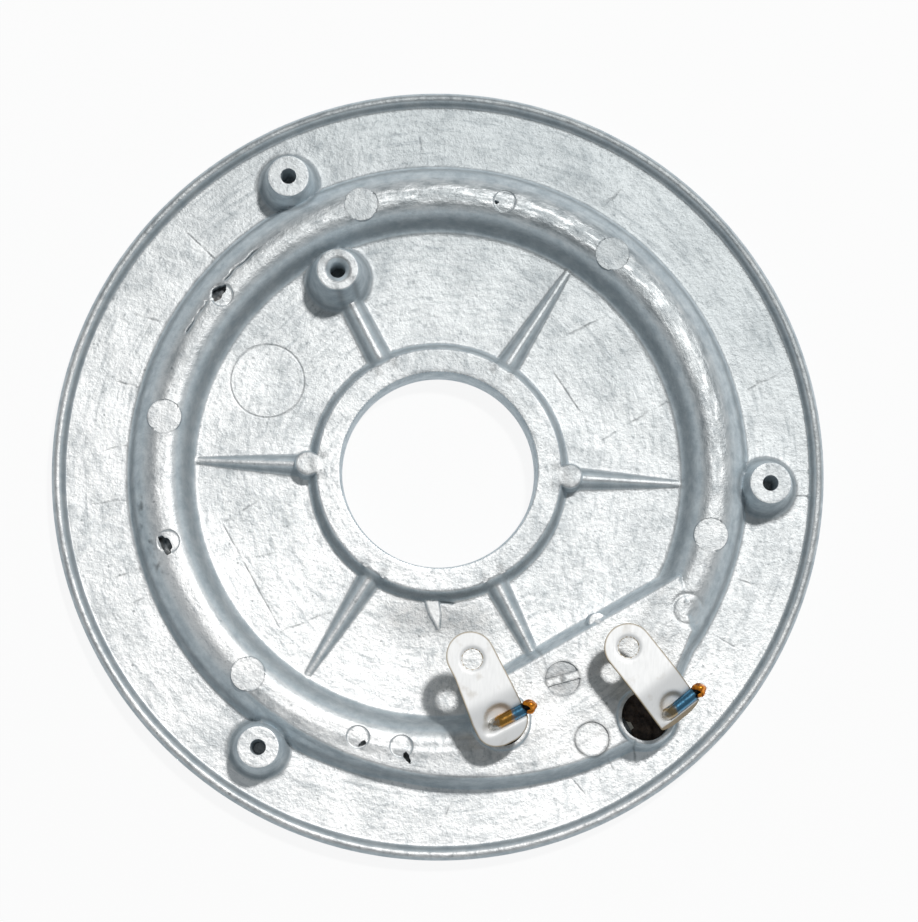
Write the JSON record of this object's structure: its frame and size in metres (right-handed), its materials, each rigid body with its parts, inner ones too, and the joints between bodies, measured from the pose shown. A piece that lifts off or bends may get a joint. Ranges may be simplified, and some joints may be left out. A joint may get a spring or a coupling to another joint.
{
  "type": "hot plate burner",
  "caption": "Round die-cast aluminium heating plate with a cast-in tubular heater, central thermostat bore, ribbed underside, screw bosses and bent connector tabs.",
  "frame": {"origin": "centre of the bore on the plane of the cooking face", "axes": "+Z from the cooking face to the ribbed underside, along the bore; +X through one of the outer screw bosses"},
  "size_m": [0.165, 0.165, 0.0245],
  "materials": {
    "cast_aluminium": "bright as-cast aluminium, machined on the cooking face",
    "sheath_steel": "drawn tube",
    "magnesia": "compacted powder",
    "heating_wire": "drawn resistance wire",
    "pin_steel": "drawn, heat tinted at its end",
    "braze": "fused copper braze",
    "bush_ceramic": "unglazed",
    "seal_compound": "hardened dark compound",
    "tab_steel": "bright plated strip"
  },
  "bodies": {
    "root": {"plate_casting": "cast_aluminium", "heater_sheath": "sheath_steel", "magnesia_fill": "magnesia", "resistance_coil": "heating_wire", "cold_pin_inner": "pin_steel", "cold_pin_outer": "pin_steel", "braze_bead_inner": "braze", "braze_bead_outer": "braze", "mouth_bush_inner": "bush_ceramic", "mouth_bush_outer": "bush_ceramic", "socket_seal_inner": "seal_compound", "socket_seal_outer": "seal_compound", "terminal_tab_inner": "tab_steel", "terminal_tab_outer": "tab_steel"}
  },
  "joints": []
}
